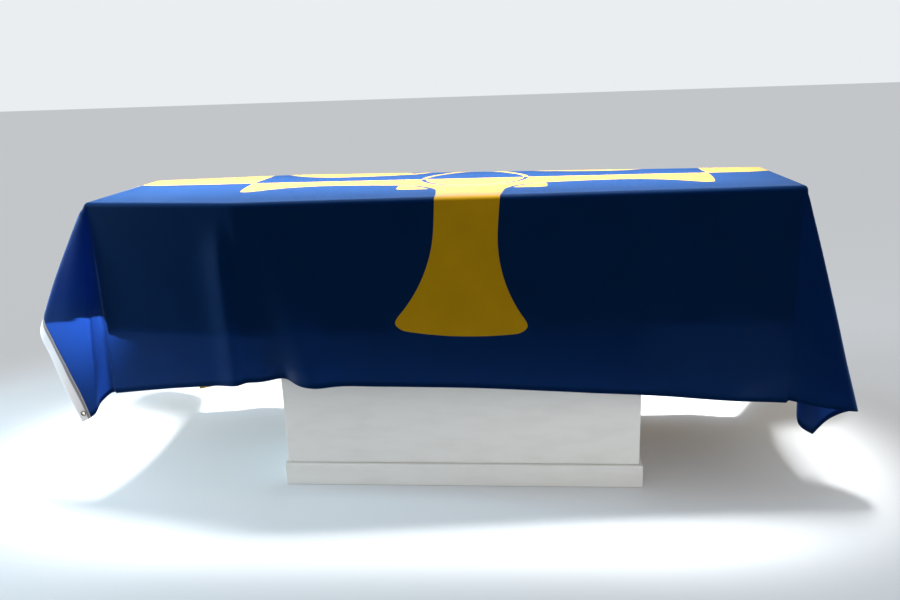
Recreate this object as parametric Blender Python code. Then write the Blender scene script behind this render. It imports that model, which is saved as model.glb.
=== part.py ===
"""A flag spread as a coffin drape: cloth, canvas heading and eyelets, with the plain coffin and bier under it.

Metres, +Z up, +X from the head of the coffin to its foot, +Y away from the side that is looked at.
The origin is the middle of the footprint, on the floor.
"""

from math import atan2, cos, degrees, exp, hypot, pi, radians, sin

import bpy
from mathutils import Vector

# Coffin: length, half widths of the lid at the head, the shoulder and the foot, and heights.
COFFIN_LENGTH = 1.94
HEAD_HALF = 0.236
SHOULDER_HALF = 0.305
FOOT_HALF = 0.212
SHOULDER_X = -0.527
COFFIN_HEIGHT = 0.375
LID_THICKNESS = 0.030
LID_OVERHANG = 0.008
EDGE_RADIUS = 0.009
LID_TOP = 0.880

# Flag: a 6 by 9 foot flag, laid a little towards the foot and towards the far side.
CLOTH_LENGTH = 2.70
FLAG_WIDTH = 1.83
HEADING_WIDTH = 0.040
FLAG_X = 0.093
FLAG_Y = 0.111
CLOTH_THICKNESS = 0.002
HEADING_THICKNESS = 0.0024
SEAM_GAP = 0.0010

# The cloth bends over the lid's edge 2 mm clear of the wood, and settles on the lid's flat.
CLOTH_CLEARANCE = 0.002 + CLOTH_THICKNESS / 2
BEND_RADIUS = EDGE_RADIUS + CLOTH_CLEARANCE
BEND_LENGTH = BEND_RADIUS * pi / 2
SETTLE = 0.0016
SETTLE_WITHIN = 0.045

# Bier: a low box under the middle of the coffin.
BIER_LENGTH = 1.05
BIER_DEPTH = 0.36
BIER_X = 0.045
BIER_TOP = 0.030
BIER_BASE = 0.070
BIER_STEP = 0.020
PIECE_GAP = 0.0003

# Eyelets: brass rings closed over both faces of the heading.
EYELET_HOLE = 0.0046
EYELET_BARREL = 0.0008
EYELET_FLANGE = 0.0086
EYELET_FROM_END = 0.023
EYELET_FROM_EDGE = 0.018
EYELET_PLAY = 0.0004
END_SQUARE = 2 * EYELET_FROM_END
EYELET_SIDES = 24

# Way of the cloth round each corner. Rows: angle on the flat flag from the long side (0) to the
# end (90), the swing of that strip of cloth from the plumb line, in degrees along X and along Y,
# just under the lid and then at the hem, and the share of its length that small crumples take up.
CORNER_TURNS = {
    "near_head": [
        (0.0, 0.0, 0.0, 0.0, 0.0, 0.0),
        (7.0, -1.5, 1.0, -1.2, 5.0, 0.0),
        (14.0, -3.4, 1.4, -4.4, 7.4, 0.0),
        (20.0, -5.2, 0.5, -5.6, 3.2, 0.0),
        (25.0, -6.8, -0.5, -5.9, -0.6, 0.0),
        (29.9, -9.4, -0.9, -9.1, -0.9, 0.0),
        (36.0, -14.9, -0.6, -14.9, -0.6, 0.0),
        (43.0, -21.8, 1.2, -21.8, 1.2, 0.0),
        (49.6, -28.1, 3.7, -28.1, 3.7, 0.0),
        (54.0, -28.5, 7.0, -29.6, 8.0, 0.0),
        (60.0, -24.5, 9.8, -26.0, 13.0, 0.0),
        (68.0, -18.5, 10.0, -19.0, 14.6, 0.0),
        (76.0, -14.5, 8.0, -16.0, 8.6, 0.0),
        (83.0, -11.5, 5.5, -13.2, 3.8, 0.0),
        (90.0, -9.0, 3.4, -9.0, 3.4, 0.0),
    ],
    "near_foot": [
        (0.0, 0.0, 0.0, 0.0, 0.0, 0.0),
        (10.0, 6.6, -3.6, 6.6, -3.6, 0.0),
        (20.2, 14.9, -4.7, 14.9, -4.7, 0.006),
        (25.0, 15.8, -1.6, 16.0, -0.6, 0.015),
        (31.0, 14.4, 1.8, 12.9, 3.8, 0.025),
        (37.0, 12.4, 4.6, 9.3, 5.8, 0.033),
        (42.0, 10.8, 6.6, 4.4, 5.2, 0.015),
        (46.5, 9.4, 8.4, 5.0, 8.6, 0.0),
        (54.0, 8.0, 9.8, 7.6, 10.8, 0.0),
        (64.0, 7.0, 11.0, 9.8, 12.0, 0.0),
        (76.0, 6.2, 11.8, 8.8, 12.8, 0.0),
        (90.0, 5.4, 12.4, 6.0, 13.2, 0.0),
    ],
    "far_foot": [
        (0.0, 0.0, 7.0, 0.0, 7.0, 0.0),
        (22.0, 10.0, 20.0, 10.0, 20.0, 0.0),
        (45.0, 30.0, 25.0, 30.0, 25.0, 0.0),
        (64.0, 27.0, 8.0, 27.0, 8.0, 0.0),
        (90.0, 7.0, -1.0, 7.0, -1.0, 0.0),
    ],
    "far_head": [
        (0.0, 0.0, 7.5, 0.0, 7.5, 0.0),
        (12.0, -3.5, 17.0, -3.5, 17.0, 0.0),
        (22.0, -13.0, 20.5, -13.0, 20.5, 0.0),
        (33.0, -24.0, 21.0, -24.0, 21.0, 0.0),
        (48.0, -31.5, 14.5, -31.5, 14.5, 0.0),
        (68.0, -20.0, 3.5, -20.0, 3.5, 0.0),
        (90.0, -7.0, -1.0, -7.0, -1.0, 0.0),
    ],
}
CORNERS = {(-1, -1): "near_head", (1, -1): "near_foot", (1, 1): "far_foot", (-1, 1): "far_head"}

# Swing of each hanging panel half way along it, in degrees; its ends follow the corners.
PANEL_MIDDLE = {"near": (0.0, 0.0), "far": (0.0, 6.0), "head": (-5.0, 1.5), "foot": (4.0, 6.5)}
SWING_START = 0.010
SWING_FULL = 0.110
PLEAT_START = 0.080
PLEAT_FULL = 0.320

# Share of the near side's drop that small crumples take up, by place along the coffin.
NEAR_TAKEN_UP = [
    (-0.97, 0.018), (-0.80, 0.012), (-0.60, 0.0), (-0.25, 0.0), (0.10, 0.018), (0.45, 0.010),
    (0.70, 0.0), (0.97, -0.010),
]

# Soft folds of the long sides: side, place at the lid, place at the hem, depth below the lid
# where the fold starts and where it is full, width before and after its crest, height outwards.
SIDE_FOLDS = [
    ("near", -0.665, -0.655, 0.04, 0.30, 0.070, 0.024, 0.013),
    ("near", -0.470, -0.335, 0.05, 0.50, 0.060, 0.050, 0.028),
    ("near", -0.450, -0.445, 0.40, 0.52, 0.040, 0.040, -0.045),
    ("near", 0.100, 0.140, 0.10, 0.55, 0.220, 0.180, 0.006),
    ("near", 0.720, 0.800, 0.06, 0.45, 0.160, 0.100, 0.012),
    ("far", -0.700, -0.740, 0.05, 0.50, 0.070, 0.060, 0.020),
    ("far", -0.380, -0.330, 0.08, 0.60, 0.060, 0.080, 0.030),
    ("far", 0.050, 0.020, 0.10, 0.60, 0.120, 0.090, 0.016),
    ("far", 0.420, 0.500, 0.06, 0.65, 0.070, 0.050, 0.024),
    ("far", 0.780, 0.800, 0.06, 0.50, 0.090, 0.070, 0.014),
]
FOLD_REACH = 0.55

# Squares of the cloth's grid: how many hang on each side and lie on the lid.
SQUARES_HEAD = 10
SQUARES_LENGTH_HEAD = 8
SQUARES_LENGTH_FOOT = 22
SQUARES_FOOT = 14
SQUARES_NEAR = 12
SQUARES_LID = 4
SQUARES_FAR = 14
BEND_STEPS = (0.0, BEND_LENGTH / 3, BEND_LENGTH * 2 / 3, BEND_LENGTH, BEND_LENGTH * 2)

# The line where the cloth leaves the flat of the lid.
HEAD_X = -COFFIN_LENGTH / 2 + EDGE_RADIUS
FOOT_X = COFFIN_LENGTH / 2 - EDGE_RADIUS
LID_OUTLINE = [
    (-COFFIN_LENGTH / 2, -HEAD_HALF),
    (SHOULDER_X, -SHOULDER_HALF),
    (COFFIN_LENGTH / 2, -FOOT_HALF),
    (COFFIN_LENGTH / 2, FOOT_HALF),
    (SHOULDER_X, SHOULDER_HALF),
    (-COFFIN_LENGTH / 2, HEAD_HALF),
]


def smooth(share):
    """0 to 1 with a soft start and end."""
    share = min(max(share, 0.0), 1.0)
    return share * share * (3 - 2 * share)


def rim_half(x):
    """Half the width of the lid's flat at a place along the coffin."""
    if x < SHOULDER_X:
        share = max((x - HEAD_X) / (SHOULDER_X - HEAD_X), 0.0)
        return HEAD_HALF + (SHOULDER_HALF - HEAD_HALF) * share - EDGE_RADIUS
    share = min((x - SHOULDER_X) / (FOOT_X - SHOULDER_X), 1.0)
    return SHOULDER_HALF + (FOOT_HALF - SHOULDER_HALF) * share - EDGE_RADIUS


def over_edge(distance):
    """How far out and how far down cloth lies that is a distance past the flat."""
    if distance < BEND_LENGTH:
        turn = distance / BEND_RADIUS
        return BEND_RADIUS * sin(turn), BEND_RADIUS * (1 - cos(turn))
    return BEND_RADIUS, BEND_RADIUS + distance - BEND_LENGTH


def smooth_path(rows, place):
    """Values read from a smooth curve through rows that start with their place."""
    last = len(rows) - 2
    i = max(k for k in range(last + 1) if k == 0 or rows[k][0] <= place)
    step = rows[i + 1][0] - rows[i][0]
    s = (place - rows[i][0]) / step
    found = []
    for column in range(1, len(rows[0])):
        slopes = [(b[column] - a[column]) / (b[0] - a[0]) for a, b in zip(rows, rows[1:])]
        leave = slopes[0] if i == 0 else (slopes[i - 1] + slopes[i]) / 2
        arrive = slopes[last] if i == last else (slopes[i] + slopes[i + 1]) / 2
        found.append(
            (2 * s**3 - 3 * s**2 + 1) * rows[i][column]
            + (s**3 - 2 * s**2 + s) * step * leave
            + (3 * s**2 - 2 * s**3) * rows[i + 1][column]
            + (s**3 - s**2) * step * arrive
        )
    return found


def side_swing(x, side):
    """Swing in degrees of the cloth of a long side, at a place along the coffin."""
    at_head = CORNER_TURNS[CORNERS[(-1, side)]][0][1:3]
    at_foot = CORNER_TURNS[CORNERS[(1, side)]][0][1:3]
    middle = PANEL_MIDDLE["near" if side < 0 else "far"]
    return smooth_path([(HEAD_X, *at_head), (0.0, *middle), (FOOT_X, *at_foot)], x)


def end_swing(y, end):
    """Swing in degrees of the cloth of an end, at a place across the coffin."""
    half = rim_half(end * COFFIN_LENGTH)
    at_near = CORNER_TURNS[CORNERS[(end, -1)]][-1][1:3]
    at_far = CORNER_TURNS[CORNERS[(end, 1)]][-1][1:3]
    middle = PANEL_MIDDLE["head" if end < 0 else "foot"]
    return smooth_path([(-half, *at_near), (0.0, *middle), (half, *at_far)], y)


def fold_height(x, side, distance):
    """How far the soft folds stand out at a point of a long side."""
    height = 0.0
    for where, at_lid, at_hem, start, full, before, after, crest in SIDE_FOLDS:
        if where == ("near" if side < 0 else "far"):
            centre = at_lid + (at_hem - at_lid) * min(distance / FOLD_REACH, 1.2)
            width = before if x < centre else after
            height += crest * smooth((distance - start) / (full - start)) * exp(-(((x - centre) / width) ** 2))
    return height


def draped(x, y):
    """Where a point of the flat flag lies, as a Vector with z from the cloth on the lid."""
    half = rim_half(x)
    side = -1 if y < 0 else 1
    end = -1 if x < 0 else 1
    past_side = abs(y) - half
    past_end = max(HEAD_X - x, x - FOOT_X)
    taken = 0.0
    if past_side <= 0 and past_end <= 0:
        return Vector((x, y, -SETTLE * smooth(min(-past_side, -past_end) / SETTLE_WITHIN)))
    if past_end <= 0:
        distance, foot, out = past_side, (x, side * half), (0.0, side)
        along_x, along_y = side_swing(x, side)
        if side < 0:
            taken = smooth_path(NEAR_TAKEN_UP, x)[0]
    elif past_side <= 0:
        distance, foot, out = past_end, (HEAD_X if end < 0 else FOOT_X, y), (end, 0.0)
        along_x, along_y = end_swing(y, end)
    else:
        distance = hypot(past_end, past_side)
        foot = (HEAD_X if end < 0 else FOOT_X, side * half)
        out = (end * past_end / distance, side * past_side / distance)
        place = degrees(atan2(past_end, past_side))
        top_x, top_y, hem_x, hem_y, taken = smooth_path(CORNER_TURNS[CORNERS[(end, side)]], place)
        opened = smooth((distance - PLEAT_START) / (PLEAT_FULL - PLEAT_START))
        along_x = top_x + (hem_x - top_x) * opened
        along_y = top_y + (hem_y - top_y) * opened
    outward, down = over_edge(distance)
    down *= 1 - taken * smooth(distance / 0.3)
    if past_end <= 0:
        outward += fold_height(x, side, distance)
    swing = radians(hypot(along_x, along_y)) * smooth((distance - SWING_START) / (SWING_FULL - SWING_START))
    towards = atan2(along_y, along_x)
    return Vector((
        foot[0] + out[0] * outward + down * sin(swing) * cos(towards),
        foot[1] + out[1] * outward + down * sin(swing) * sin(towards),
        -down * cos(swing),
    ))


def facing(x, y, reach=0.015):
    """Unit normal of the draped cloth, up on the lid and outwards on the sides."""
    along = draped(x + reach, y) - draped(x - reach, y)
    across = draped(x, y + reach) - draped(x, y - reach)
    return along.cross(across).normalized()


def spread(start, stop, squares):
    """Evenly spaced places after start, up to stop."""
    return [start + (stop - start) * (i + 1) / squares for i in range(squares)]


def columns(low, high):
    """Places along the flag: dense at the bends over the two ends."""
    found = [low] + spread(low, HEAD_X - BEND_STEPS[-1], SQUARES_HEAD)
    found += [HEAD_X - step for step in reversed(BEND_STEPS[:-1])]
    found += spread(HEAD_X, SHOULDER_X, SQUARES_LENGTH_HEAD)
    found += spread(SHOULDER_X, FOOT_X, SQUARES_LENGTH_FOOT)
    found += [FOOT_X + step for step in BEND_STEPS[1:]]
    return found + spread(FOOT_X + BEND_STEPS[-1], high, SQUARES_FOOT)


def rows(x):
    """Places across the flag at one column: dense at the bends over the two long sides."""
    low, high = FLAG_Y - FLAG_WIDTH / 2, FLAG_Y + FLAG_WIDTH / 2
    half = rim_half(x)
    found = [low] + spread(low + END_SQUARE, -half - BEND_STEPS[-1], SQUARES_NEAR)
    found.insert(1, low + END_SQUARE)
    found += [-half - step for step in reversed(BEND_STEPS[:-1])]
    found += spread(-half, half, SQUARES_LID)
    found += [half + step for step in BEND_STEPS[1:]]
    return found + spread(half + BEND_STEPS[-1], high - END_SQUARE, SQUARES_FAR) + [high]


def inset(outline, by):
    """The outline, counter-clockwise, drawn in by a distance."""
    found = []
    for before, here, after in zip(outline[-1:] + outline[:-1], outline, outline[1:] + outline[:1]):
        a = atan2(here[1] - before[1], here[0] - before[0])
        b = atan2(after[1] - here[1], after[0] - here[0])
        reach = by / (1 + cos(a - b))
        found.append((here[0] - reach * (sin(a) + sin(b)), here[1] + reach * (cos(a) + cos(b))))
    return found


def new_object(name, points, faces, material):
    """A mesh object from its points and faces."""
    mesh = bpy.data.meshes.new(name)
    mesh.from_pydata([tuple(p) for p in points], [], faces)
    mesh.update()
    mesh.materials.append(material)
    made = bpy.data.objects.new(name, mesh)
    bpy.context.scene.collection.objects.link(made)
    return made


def new_material(name, colour, roughness, metallic=0.0):
    """A plain material with the part's own colour."""
    made = bpy.data.materials.new(name)
    made.use_nodes = True
    shader = made.node_tree.nodes["Principled BSDF"]
    shader.inputs["Base Color"].default_value = (*colour, 1.0)
    shader.inputs["Roughness"].default_value = roughness
    shader.inputs["Metallic"].default_value = metallic
    return made


def grid_normals(middles):
    """Unit normals of a grid of points, each the mean of the faces that meet there."""
    long, wide = len(middles), len(middles[0])
    sums = [[Vector((0.0, 0.0, 0.0)) for _ in range(wide)] for _ in range(long)]
    for i in range(long - 1):
        for j in range(wide - 1):
            a, b, c, d = middles[i][j], middles[i + 1][j], middles[i + 1][j + 1], middles[i][j + 1]
            normal = (c - a).cross(d - b).normalized()
            for k, m in ((i, j), (i + 1, j), (i + 1, j + 1), (i, j + 1)):
                sums[k][m] += normal
    return [[total.normalized() for total in column] for column in sums]


def sheet(name, middles, normals, thickness, material):
    """A closed sheet of even thickness round a grid of points, given column by column."""
    long, wide = len(middles), len(middles[0])
    pairs = [(m, n) for column, facings in zip(middles, normals) for m, n in zip(column, facings)]
    outer = [middle + normal * thickness / 2 for middle, normal in pairs]
    inner = [middle - normal * thickness / 2 for middle, normal in pairs]
    count = long * wide
    faces = []
    for i in range(long - 1):
        for j in range(wide - 1):
            a, b, c, d = i * wide + j, (i + 1) * wide + j, (i + 1) * wide + j + 1, i * wide + j + 1
            faces.append((a, b, c, d))
            faces.append((a + count, d + count, c + count, b + count))
    edge = [i * wide for i in range(long)] + [(long - 1) * wide + j for j in range(1, wide)]
    edge += [i * wide + wide - 1 for i in range(long - 2, -1, -1)] + [j for j in range(wide - 2, 0, -1)]
    for a, b in zip(edge, edge[1:] + edge[:1]):
        faces.append((b, a, a + count, b + count))
    made = new_object(name, outer + inner, faces, material)
    made.location = (0.0, 0.0, LID_TOP + CLOTH_CLEARANCE)
    return made


def prism(name, outline, low, high, round_edge, material, sides=3):
    """An upright block with a straight-sided outline and rounded edges."""
    count = len(outline)
    points = [(x, y, z) for z in (low, high) for x, y in outline]
    faces = [tuple(range(count - 1, -1, -1)), tuple(range(count, 2 * count))]
    faces += [(i, (i + 1) % count, (i + 1) % count + count, i + count) for i in range(count)]
    made = new_object(name, points, faces, material)
    bevel = made.modifiers.new("rounded edges", "BEVEL")
    bevel.width = round_edge
    bevel.segments = sides
    bevel.limit_method = "ANGLE"
    bevel.angle_limit = radians(5)
    return made


def box_outline(length, depth, centre_x=0.0):
    """Corners of a rectangle, counter-clockwise."""
    x, y = length / 2, depth / 2
    return [(centre_x - x, -y), (centre_x + x, -y), (centre_x + x, y), (centre_x - x, y)]


def ring(name, profile, centre, axis, material):
    """A ring turned from a closed profile of (radius, height) about an axis."""
    turn = Vector((0, 0, 1)).rotation_difference(axis)
    points, faces = [], []
    count = len(profile)
    for i in range(EYELET_SIDES):
        angle = 2 * pi * i / EYELET_SIDES
        for radius, height in profile:
            points.append(turn @ Vector((radius * cos(angle), radius * sin(angle), height)))
        following = (i + 1) % EYELET_SIDES
        for k in range(count):
            after = (k + 1) % count
            faces.append((i * count + k, following * count + k, following * count + after, i * count + after))
    made = new_object(name, points, faces, material)
    made.location = centre
    return made


def punched(target, centre, axis, radius, name):
    """Cut a round hole through a sheet."""
    depth = 0.02
    turn = Vector((0, 0, 1)).rotation_difference(axis)
    rims = [[], []]
    for end, height in enumerate((-depth / 2, depth / 2)):
        for i in range(EYELET_SIDES):
            angle = 2 * pi * i / EYELET_SIDES
            rims[end].append(turn @ Vector((radius * cos(angle), radius * sin(angle), height)))
    count = EYELET_SIDES
    faces = [tuple(range(count - 1, -1, -1)), tuple(range(count, 2 * count))]
    faces += [(i, (i + 1) % count, (i + 1) % count + count, i + count) for i in range(count)]
    cutter = new_object(name, rims[0] + rims[1], faces, target.data.materials[0])
    cutter.location = centre
    cutter.hide_render = True
    cutter.display_type = "WIRE"
    cut = target.modifiers.new(name, "BOOLEAN")
    cut.operation = "DIFFERENCE"
    cut.object = cutter


def make_flag(fabric, canvas, brass):
    """The cloth, its heading along the head end, and the eyelets at the heading's two ends."""
    cloth_low = FLAG_X - CLOTH_LENGTH / 2
    strip_places = [cloth_low - HEADING_WIDTH * share for share in (1.0, 0.5, 0.0)]
    cloth_places = columns(cloth_low + SEAM_GAP, FLAG_X + CLOTH_LENGTH / 2)
    places = [[(x, y) for y in rows(x)] for x in strip_places + cloth_places]
    middles = [[draped(x, y) for x, y in column] for column in places]
    normals = grid_normals(middles)
    seam = len(strip_places)
    for j, (one, other) in enumerate(zip(normals[seam - 1], normals[seam])):
        normals[seam - 1][j] = normals[seam][j] = (one + other).normalized()

    eyelets = []
    for side, direction in (("near", -1), ("far", 1)):
        x = cloth_low - HEADING_WIDTH + EYELET_FROM_EDGE
        y = FLAG_Y + direction * (FLAG_WIDTH / 2 - EYELET_FROM_END)
        centre, axis = draped(x, y), facing(x, y)
        eyelets.append((side, centre, axis))
        for i in range(seam):
            for j, (_, across) in enumerate(places[i]):
                if abs(across - y) < EYELET_FROM_END * 1.1:
                    middles[i][j] = middles[i][j] - axis * axis.dot(middles[i][j] - centre)
                    normals[i][j] = axis
    sheet("drape_cloth", middles[seam:], normals[seam:], CLOTH_THICKNESS, fabric)
    strip = sheet("heading", middles[:seam], normals[:seam], HEADING_THICKNESS, canvas)

    half = HEADING_THICKNESS / 2 + EYELET_PLAY
    wall = EYELET_HOLE + EYELET_BARREL
    lip = EYELET_BARREL
    profile = [
        (EYELET_HOLE, -half - lip), (EYELET_FLANGE, -half - lip), (EYELET_FLANGE, -half), (wall, -half),
        (wall, half), (EYELET_FLANGE, half), (EYELET_FLANGE, half + lip), (EYELET_HOLE, half + lip),
    ]
    for side, centre, axis in eyelets:
        centre = centre + Vector((0, 0, LID_TOP + CLOTH_CLEARANCE))
        punched(strip, centre, axis, wall + EYELET_PLAY, "punch_" + side)
        ring("eyelet_" + side, profile, centre, axis, brass)


def make_support(oak, paint):
    """The coffin with its lid, on a low bier."""
    lid_low = LID_TOP - LID_THICKNESS
    coffin_low = LID_TOP - COFFIN_HEIGHT
    prism("coffin_lid", LID_OUTLINE, lid_low, LID_TOP, EDGE_RADIUS, oak)
    body = inset(LID_OUTLINE, LID_OVERHANG)
    prism("coffin_body", body, coffin_low, lid_low - PIECE_GAP, EDGE_RADIUS / 2, oak, 2)

    top_high = coffin_low - PIECE_GAP
    top_low = top_high - BIER_TOP
    wide, narrow = BIER_STEP, 0.0
    for name, low, high, more in (
        ("bier_top", top_low, top_high, wide),
        ("bier_body", BIER_BASE, top_low - PIECE_GAP, narrow),
        ("bier_base", 0.0, BIER_BASE - PIECE_GAP, wide),
    ):
        outline = box_outline(BIER_LENGTH + more, BIER_DEPTH + more, BIER_X)
        prism(name, outline, low, high, EDGE_RADIUS / 3, paint, 2)


def centre_on_origin(made):
    """Shift everything so that the origin is the middle of the footprint."""
    bpy.context.view_layer.update()
    corners = [piece.matrix_world @ point.co for piece in made for point in piece.data.vertices]
    shift = Vector((0.0, 0.0, 0.0))
    for axis in (0, 1):
        values = [corner[axis] for corner in corners]
        shift[axis] = -(min(values) + max(values)) / 2
    for piece in made:
        piece.location += shift


def main():
    for old in list(bpy.data.objects):
        bpy.data.objects.remove(old)
    fabric = new_material("flag cloth", (0.010, 0.055, 0.230), 0.6)
    canvas = new_material("heading canvas", (0.560, 0.540, 0.560), 0.8)
    brass = new_material("eyelet brass", (0.450, 0.360, 0.180), 0.35, 1.0)
    oak = new_material("coffin oak", (0.300, 0.170, 0.080), 0.5)
    paint = new_material("bier paint", (0.720, 0.700, 0.660), 0.6)
    make_flag(fabric, canvas, brass)
    make_support(oak, paint)
    centre_on_origin(list(bpy.context.scene.collection.objects))


main()
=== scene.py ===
"""The looks of the coffin drape: draped cloth, heading, eyelets, coffin, bier, light and camera."""

from math import atan2, cos, degrees, exp, hypot, pi, radians, sin

import bpy
from mathutils import Matrix, Vector, noise


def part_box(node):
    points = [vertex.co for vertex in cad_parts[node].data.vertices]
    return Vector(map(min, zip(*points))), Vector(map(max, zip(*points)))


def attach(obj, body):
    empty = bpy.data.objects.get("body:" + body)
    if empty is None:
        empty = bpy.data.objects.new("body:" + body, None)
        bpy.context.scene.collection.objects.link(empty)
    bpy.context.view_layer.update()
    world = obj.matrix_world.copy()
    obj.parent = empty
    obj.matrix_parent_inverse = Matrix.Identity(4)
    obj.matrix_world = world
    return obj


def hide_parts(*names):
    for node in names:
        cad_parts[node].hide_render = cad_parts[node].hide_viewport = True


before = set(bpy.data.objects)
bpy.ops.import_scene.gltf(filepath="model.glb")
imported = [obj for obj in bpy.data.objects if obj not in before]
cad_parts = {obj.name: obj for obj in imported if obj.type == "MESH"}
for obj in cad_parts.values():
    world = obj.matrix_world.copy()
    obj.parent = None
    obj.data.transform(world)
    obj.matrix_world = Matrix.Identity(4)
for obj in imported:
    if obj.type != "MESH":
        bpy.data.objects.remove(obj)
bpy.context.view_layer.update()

# Sizes of the coffin and the flag, in metres, as the solids have them.
COFFIN_LENGTH = 1.94
HEAD_HALF = 0.236
SHOULDER_HALF = 0.305
FOOT_HALF = 0.212
SHOULDER_X = -0.527
EDGE_RADIUS = 0.009
CLOTH_LENGTH = 2.70
FLAG_WIDTH = 1.83
HEADING_WIDTH = 0.040
FLAG_X = 0.093
FLAG_Y = 0.111
CLOTH_CLEARANCE = 0.003
BEND_RADIUS = EDGE_RADIUS + CLOTH_CLEARANCE
BEND_LENGTH = BEND_RADIUS * pi / 2
SETTLE = 0.0016
SETTLE_WITHIN = 0.045
EYELET_FROM_END = 0.023
EYELET_FROM_EDGE = 0.018

# Way of the cloth round each corner. Rows: angle on the flat flag from the long side (0) to the
# end (90), the swing of that strip of cloth from the plumb line, in degrees along X and along Y,
# just under the lid and then at the hem, and the share of its length that small crumples take up.
CORNER_TURNS = {
    "near_head": [
        (0.0, 0.0, 0.0, 0.0, 0.0, 0.012),
        (7.0, -1.5, 0.6, -1.2, 2.8, 0.004),
        (14.0, -3.4, 0.9, -4.0, 4.6, 0.0),
        (20.0, -5.2, 0.3, -5.6, 2.0, 0.0),
        (25.0, -6.8, -0.5, -5.9, -0.6, 0.0),
        (29.9, -9.4, -0.9, -9.1, -0.9, 0.0),
        (36.0, -14.9, -0.6, -14.9, -0.6, 0.0),
        (43.0, -21.8, 1.2, -21.8, 1.2, 0.0),
        (49.6, -28.1, 3.7, -28.1, 3.7, 0.0),
        (54.0, -28.5, 7.0, -29.6, 8.0, 0.0),
        (60.0, -24.5, 9.8, -26.0, 13.0, 0.0),
        (68.0, -18.5, 10.0, -19.0, 14.6, 0.0),
        (76.0, -14.5, 8.0, -16.0, 8.6, 0.0),
        (83.0, -11.5, 5.5, -13.2, 3.8, 0.0),
        (90.0, -9.0, 3.4, -9.0, 3.4, 0.0),
    ],
    "near_foot": [
        (0.0, 0.0, 0.0, 0.0, 0.0, 0.0),
        (10.0, 6.6, -3.6, 6.6, -3.6, 0.0),
        (20.2, 14.9, -4.7, 14.9, -4.7, 0.006),
        (25.0, 15.8, -1.6, 16.0, -0.6, 0.015),
        (31.0, 14.4, 1.8, 12.9, 3.8, 0.025),
        (37.0, 12.4, 4.6, 9.3, 5.8, 0.033),
        (42.0, 10.8, 6.6, 4.4, 5.2, 0.015),
        (46.5, 9.4, 8.4, 5.0, 8.6, 0.0),
        (54.0, 8.0, 9.8, 7.6, 10.8, 0.0),
        (64.0, 7.0, 11.0, 9.8, 12.0, 0.0),
        (76.0, 6.2, 11.8, 8.8, 12.8, 0.0),
        (90.0, 5.4, 12.4, 6.0, 13.2, 0.0),
    ],
    "far_foot": [
        (0.0, 0.0, 7.0, 0.0, 7.0, 0.0),
        (22.0, 10.0, 20.0, 10.0, 20.0, 0.0),
        (45.0, 30.0, 25.0, 30.0, 25.0, 0.0),
        (64.0, 27.0, 8.0, 27.0, 8.0, 0.0),
        (90.0, 7.0, -1.0, 7.0, -1.0, 0.0),
    ],
    "far_head": [
        (0.0, 0.0, 7.5, 0.0, 7.5, 0.0),
        (12.0, -3.5, 17.0, -3.5, 17.0, 0.0),
        (22.0, -13.0, 20.5, -13.0, 20.5, 0.0),
        (33.0, -24.0, 21.0, -24.0, 21.0, 0.0),
        (48.0, -31.5, 14.5, -31.5, 14.5, 0.0),
        (68.0, -20.0, 3.5, -20.0, 3.5, 0.0),
        (90.0, -7.0, -1.0, -7.0, -1.0, 0.0),
    ],
}
CORNERS = {(-1, -1): "near_head", (1, -1): "near_foot", (1, 1): "far_foot", (-1, 1): "far_head"}

# Swing of each hanging panel half way along it, in degrees; its ends follow the corners.
PANEL_MIDDLE = {"near": (0.0, 0.0), "far": (0.0, 6.0), "head": (-5.0, 1.5), "foot": (4.0, 6.5)}
SWING_START = 0.002
SWING_FULL = 0.042
PLEAT_START = 0.080
PLEAT_FULL = 0.320

# Share of the near side's drop that small crumples take up, by place along the coffin.
NEAR_TAKEN_UP = [
    (-0.97, 0.012), (-0.80, 0.009), (-0.60, -0.004), (-0.25, -0.005), (0.10, 0.011), (0.45, 0.002),
    (0.70, -0.002), (0.97, -0.014),
]
TAKEN_UP_WITHIN = 0.30

# Soft folds of the long sides: side, place at the lid, place at the hem, depth below the lid
# where the fold starts and where it is full, width before and after its crest, height outwards.
SIDE_FOLDS = [
    ("near", -0.574, -0.562, 0.02, 0.20, 0.045, 0.016, 0.019),
    ("near", -0.470, -0.335, 0.05, 0.50, 0.060, 0.050, 0.028),
    ("near", -0.450, -0.445, 0.40, 0.52, 0.040, 0.040, -0.045),
    ("near", 0.100, 0.140, 0.10, 0.55, 0.220, 0.180, 0.006),
    ("near", 0.720, 0.800, 0.06, 0.45, 0.160, 0.100, 0.012),
    ("far", -0.700, -0.740, 0.05, 0.50, 0.070, 0.060, 0.020),
    ("far", -0.380, -0.330, 0.08, 0.60, 0.060, 0.080, 0.030),
    ("far", 0.050, 0.020, 0.10, 0.60, 0.120, 0.090, 0.016),
    ("far", 0.420, 0.500, 0.06, 0.65, 0.070, 0.050, 0.024),
    ("far", 0.780, 0.800, 0.06, 0.50, 0.090, 0.070, 0.014),
]
# Distance past the flat at which a fold has its place at the hem, and how far on it drifts.
FOLD_REACH = 0.55
FOLD_DRIFT_LIMIT = 1.2

# How far the cloth of each corner bellies out half way down, in metres.
CORNER_BELLY = {"near_head": 0.014, "near_foot": 0.006, "far_foot": 0.006, "far_head": 0.008}
BELLY_LENGTH = 0.50

# The line where the cloth leaves the flat of the lid.
HEAD_X = -COFFIN_LENGTH / 2 + EDGE_RADIUS
FOOT_X = COFFIN_LENGTH / 2 - EDGE_RADIUS

# Where the coffin lies in the row's frame.
lid_low, lid_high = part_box("coffin_lid")
SHIFT = Vector((
    lid_low[0] + COFFIN_LENGTH / 2,
    (lid_low[1] + lid_high[1]) / 2,
    lid_high[2] + CLOTH_CLEARANCE,
))


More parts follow.
